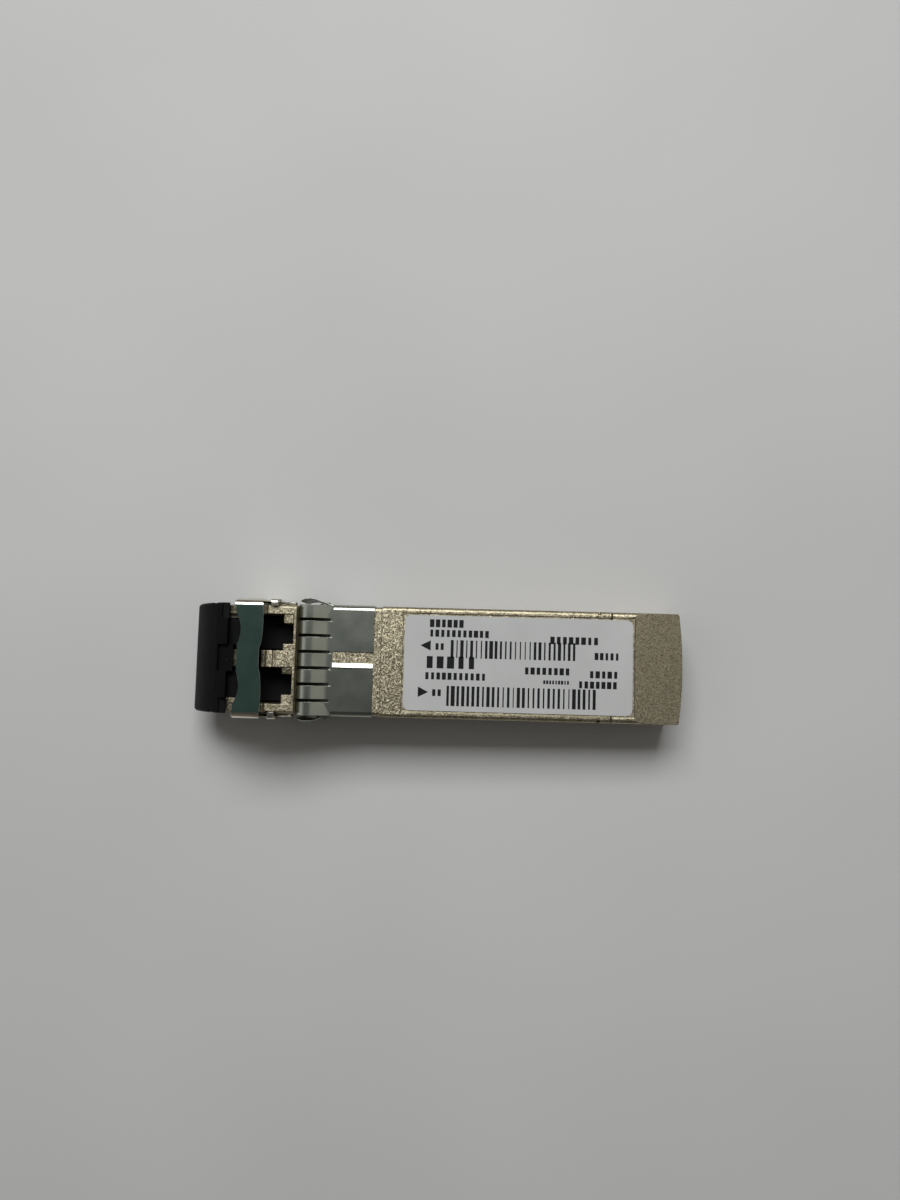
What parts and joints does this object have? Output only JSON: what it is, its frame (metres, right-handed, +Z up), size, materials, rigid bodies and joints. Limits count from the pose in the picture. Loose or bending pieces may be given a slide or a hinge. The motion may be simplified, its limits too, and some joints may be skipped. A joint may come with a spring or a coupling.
{
  "type": "optical transceiver module",
  "caption": "Pluggable optical transceiver with twin ports, a swinging bail that works a rocker latch, a sprung shield and a black dust plug.",
  "frame": {"origin": "on the body's underside, on the centre line, midway between the nose front and the card end", "axes": "+X from the ports towards the card end, +Y across the module, +Z up towards the label side"},
  "size_m": [0.0607, 0.015, 0.0124],
  "materials": {
    "base_zinc": "satin",
    "cover_zinc": "satin",
    "nose_zinc": "satin",
    "lever_zinc": "satin",
    "shield_steel": "polished",
    "bail_steel": "polished",
    "spring_steel": "polished",
    "plug_elastomer": "matte",
    "label_film": "satin",
    "board_laminate": "satin",
    "contact_gold": "polished",
    "chip_epoxy": "matte",
    "barrel_resin": "satin",
    "can_metal": "satin",
    "flex_film": "satin",
    "retainer_zinc": "satin",
    "capacitor_ceramic": "matte",
    "inductor_ferrite": "matte",
    "gap_pad": "matte"
  },
  "bodies": {
    "housing": {"barrel_retainer": "retainer_zinc", "base_housing": "base_zinc", "circuit_board": "board_laminate", "contact_bottom_01": "contact_gold", "contact_bottom_02": "contact_gold", "contact_bottom_03": "contact_gold", "contact_bottom_04": "contact_gold", "contact_bottom_05": "contact_gold", "contact_bottom_06": "contact_gold", "contact_bottom_07": "contact_gold", "contact_bottom_08": "contact_gold", "contact_bottom_09": "contact_gold", "contact_bottom_10": "contact_gold", "contact_top_01": "contact_gold", "contact_top_02": "contact_gold", "contact_top_03": "contact_gold", "contact_top_04": "contact_gold", "contact_top_05": "contact_gold", "contact_top_06": "contact_gold", "contact_top_07": "contact_gold", "contact_top_08": "contact_gold", "contact_top_09": "contact_gold", "contact_top_10": "contact_gold", "coupling_capacitor_1": "capacitor_ceramic", "coupling_capacitor_2": "capacitor_ceramic", "coupling_capacitor_3": "capacitor_ceramic", "coupling_capacitor_4": "capacitor_ceramic", "emi_shield": "shield_steel", "laser_driver_chip": "chip_epoxy", "latch_spring": "spring_steel", "limiting_amplifier_chip": "chip_epoxy", "memory_chip": "chip_epoxy", "microcontroller_chip": "chip_epoxy", "nose_block": "nose_zinc", "pivot_pin": "spring_steel", "power_inductor_1": "inductor_ferrite", "power_inductor_2": "inductor_ferrite", "product_label": "label_film", "receiver_barrel": "barrel_resin", "receiver_can": "can_metal", "receiver_flex": "flex_film", "thermal_pad": "gap_pad", "top_cover": "cover_zinc", "transmitter_barrel": "barrel_resin", "transmitter_can": "can_metal", "transmitter_flex": "flex_film"},
    "bail": {"bail_latch": "bail_steel"},
    "latch": {"latch_lever": "lever_zinc"},
    "plug": {"dust_plug": "plug_elastomer"}
  },
  "joints": [
    {"name": "bail_pivot", "type": "hinge", "parent": "housing", "child": "bail", "pos_m": [-0.02275, 0, -0.00015], "axis": [0, -1, 0], "range_deg": [0, 90]},
    {"name": "latch_pivot", "type": "hinge", "parent": "housing", "child": "latch", "pos_m": [-0.02275, 0, -0.00015], "axis": [0, -1, 0], "range_deg": [0, 5]},
    {"name": "plug_slide", "type": "slide", "parent": "housing", "child": "plug", "axis": [-1, 0, 0], "range_m": [0, 0.015]}
  ],
  "couplings": [
    {"joint": "latch_pivot", "follows": "bail_pivot", "ratio": 0.05555}
  ]
}
